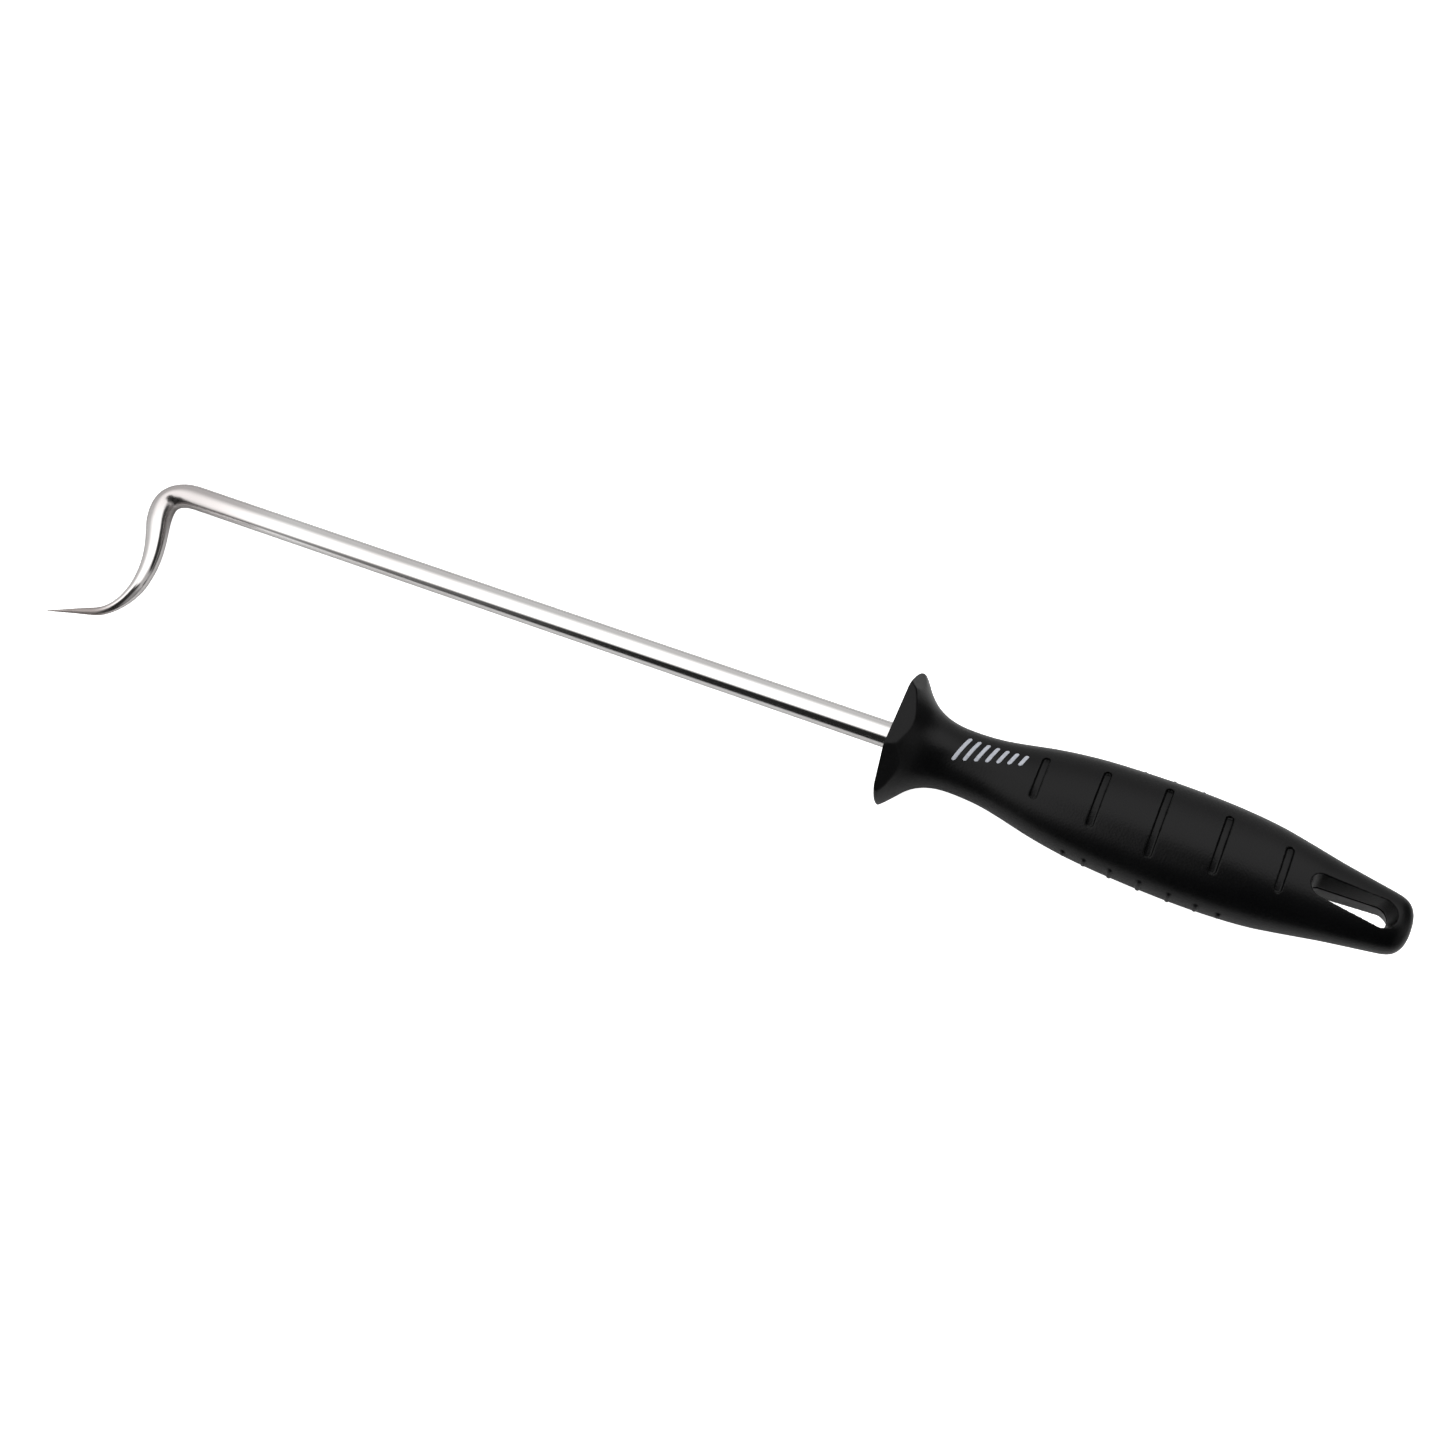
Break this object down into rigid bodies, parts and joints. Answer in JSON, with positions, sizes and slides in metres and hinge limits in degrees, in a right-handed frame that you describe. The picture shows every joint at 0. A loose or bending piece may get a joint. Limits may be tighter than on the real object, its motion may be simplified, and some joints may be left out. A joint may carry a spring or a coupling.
{
  "type": "meat turning hook",
  "caption": "Long smooth steel rod with an S-curved pointed hook at one end and a flared-guard moulded handle with a hanging slot at the other.",
  "frame": {"origin": "centre of the bounding box's bottom face; the tool lies on its side with its broad handle faces up and down", "axes": "+X along the straight rod from the hook towards the handle's tail, the hook bends towards -Y, +Z out of the handle's upper broad face"},
  "size_m": [0.4266, 0.0757, 0.0358],
  "materials": {
    "rod_steel": "polished",
    "pin_steel": "plain",
    "core_plastic": "moulded",
    "grip_plastic": "fine matt moulded texture"
  },
  "bodies": {
    "root": {"hook_rod": "rod_steel", "tang_pin": "pin_steel", "handle_core": "core_plastic", "handle_grip": "grip_plastic"}
  },
  "joints": []
}
